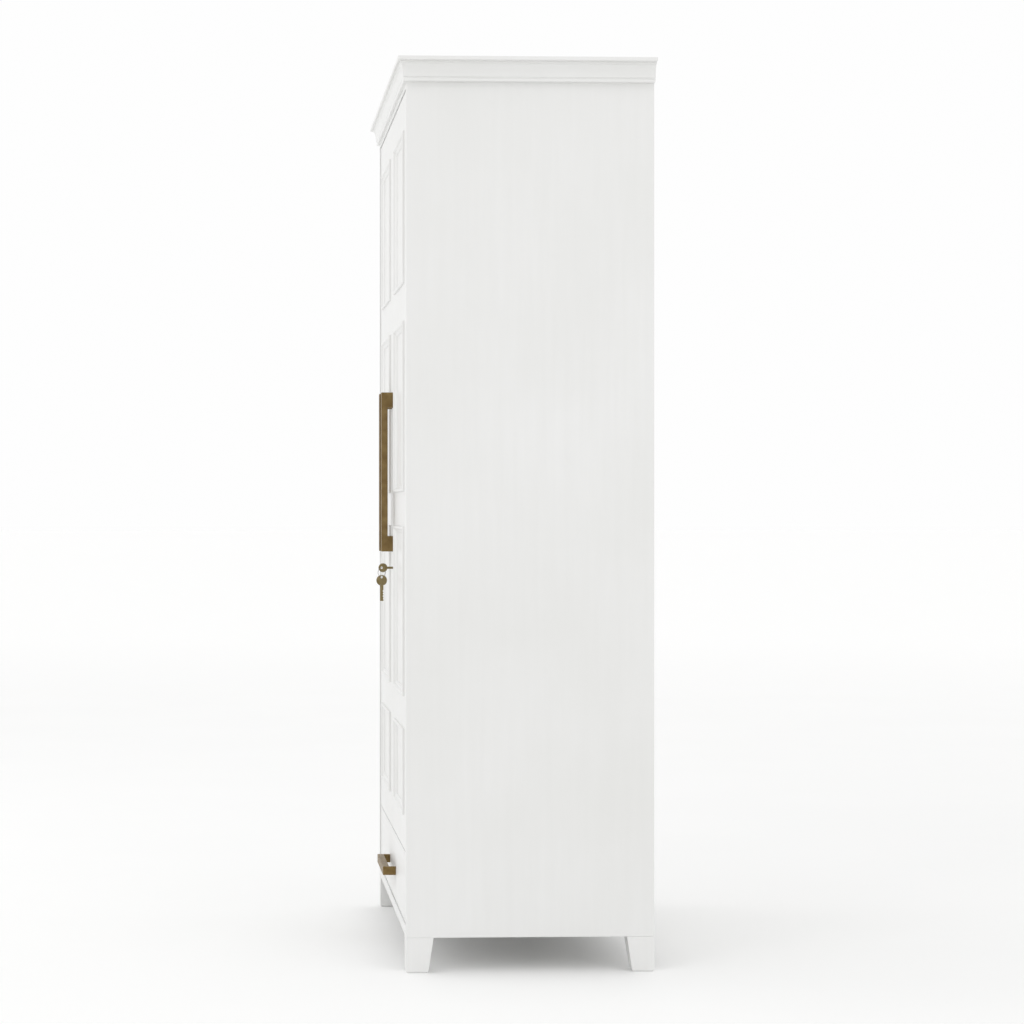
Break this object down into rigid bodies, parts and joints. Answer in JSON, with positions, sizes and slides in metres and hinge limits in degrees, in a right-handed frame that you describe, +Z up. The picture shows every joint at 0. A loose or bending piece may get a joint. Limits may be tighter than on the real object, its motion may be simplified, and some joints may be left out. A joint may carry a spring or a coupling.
{
  "type": "armoire",
  "caption": "Tall white armoire on tapered feet, with panelled double doors over a full-width drawer, a moulded cornice, bar handles and a key lock.",
  "frame": {"origin": "on the floor under the centre of the whole piece", "axes": "+Z up, the doors face -Y, +X is the viewer's right"},
  "size_m": [1.1, 0.5852, 2],
  "materials": {
    "white_lacquer": "satin white lacquer",
    "inner_board": "matt white board",
    "antique_brass": "antique brushed",
    "key_brass": "aged",
    "steel": "zinc plated"
  },
  "bodies": {
    "carcass": {"back_panel": "inner_board", "carcass_bottom": "white_lacquer", "carcass_top": "white_lacquer", "cornice_front": "white_lacquer", "cornice_left": "white_lacquer", "cornice_right": "white_lacquer", "cornice_top_board": "white_lacquer", "drawer_divider": "white_lacquer", "front_left_foot": "white_lacquer", "front_right_foot": "white_lacquer", "hanging_rail": "steel", "left_hinge_plates": "steel", "left_rail_socket": "steel", "left_runner_outer": "steel", "left_shelf_cleat": "white_lacquer", "left_side_panel": "white_lacquer", "rear_left_foot": "white_lacquer", "rear_right_foot": "white_lacquer", "right_hinge_plates": "steel", "right_rail_socket": "steel", "right_runner_outer": "steel", "right_shelf_cleat": "white_lacquer", "right_side_panel": "white_lacquer", "top_shelf": "white_lacquer"},
    "left_door": {"left_door_handle": "antique_brass", "left_door_handle_screws": "steel", "left_door_hinge_cups": "steel", "left_door_hinge_stile": "white_lacquer", "left_door_meeting_stile": "white_lacquer", "left_door_mouldings": "white_lacquer", "left_door_panels": "white_lacquer", "left_door_rails": "white_lacquer"},
    "right_door": {"right_door_handle": "antique_brass", "right_door_handle_screws": "steel", "right_door_hinge_cups": "steel", "right_door_hinge_stile": "white_lacquer", "right_door_meeting_stile": "white_lacquer", "right_door_mouldings": "white_lacquer", "right_door_panels": "white_lacquer", "right_door_rails": "white_lacquer", "lock_escutcheon": "antique_brass"},
    "drawer": {"drawer_back": "inner_board", "drawer_bottom": "inner_board", "drawer_front": "white_lacquer", "drawer_handle": "antique_brass", "drawer_handle_screws": "steel", "drawer_left_side": "inner_board", "drawer_right_side": "inner_board", "left_runner_inner": "steel", "right_runner_inner": "steel"},
    "runner_middles": {"left_runner_middle": "steel", "right_runner_middle": "steel"},
    "lock_core": {"lock_plug": "steel", "lock_cam": "steel"},
    "key_in_lock": {"key": "key_brass"},
    "key_ring_body": {"key_ring": "steel"},
    "spare_key_body": {"spare_key": "key_brass"}
  },
  "joints": [
    {"name": "left_door_hinge", "type": "hinge", "parent": "carcass", "child": "left_door", "pos_m": [-0.4775, -0.2535, 1.1], "axis": [0, 0, -1], "range_deg": [0, 110]},
    {"name": "right_door_hinge", "type": "hinge", "parent": "carcass", "child": "right_door", "pos_m": [0.4775, -0.2535, 1.1], "axis": [0, 0, 1], "range_deg": [0, 110]},
    {"name": "drawer_slide", "type": "slide", "parent": "carcass", "child": "drawer", "axis": [0, -1, 0], "range_m": [0, 0.36]},
    {"name": "runner_travel", "type": "slide", "parent": "carcass", "child": "runner_middles", "axis": [0, -1, 0], "range_m": [0, 0.18]},
    {"name": "lock_turn", "type": "hinge", "parent": "right_door", "child": "lock_core", "pos_m": [0.04025, -0.2535, 0.877], "axis": [0, -1, 0], "range_deg": [0, 90]},
    {"name": "key_withdraw", "type": "slide", "parent": "lock_core", "child": "key_in_lock", "axis": [0, -1, 0], "range_m": [0, 0.03]},
    {"name": "key_ring_swing", "type": "hinge", "parent": "key_in_lock", "child": "key_ring_body", "pos_m": [0.04025, -0.28, 0.877], "axis": [1, 0, 0], "range_deg": [-30, 8]},
    {"name": "spare_key_swing", "type": "hinge", "parent": "key_ring_body", "child": "spare_key_body", "pos_m": [0.04025, -0.28, 0.855], "axis": [1, 0, 0], "range_deg": [-30, 6]}
  ],
  "couplings": [
    {"joint": "runner_travel", "follows": "drawer_slide", "ratio": 0.5}
  ]
}
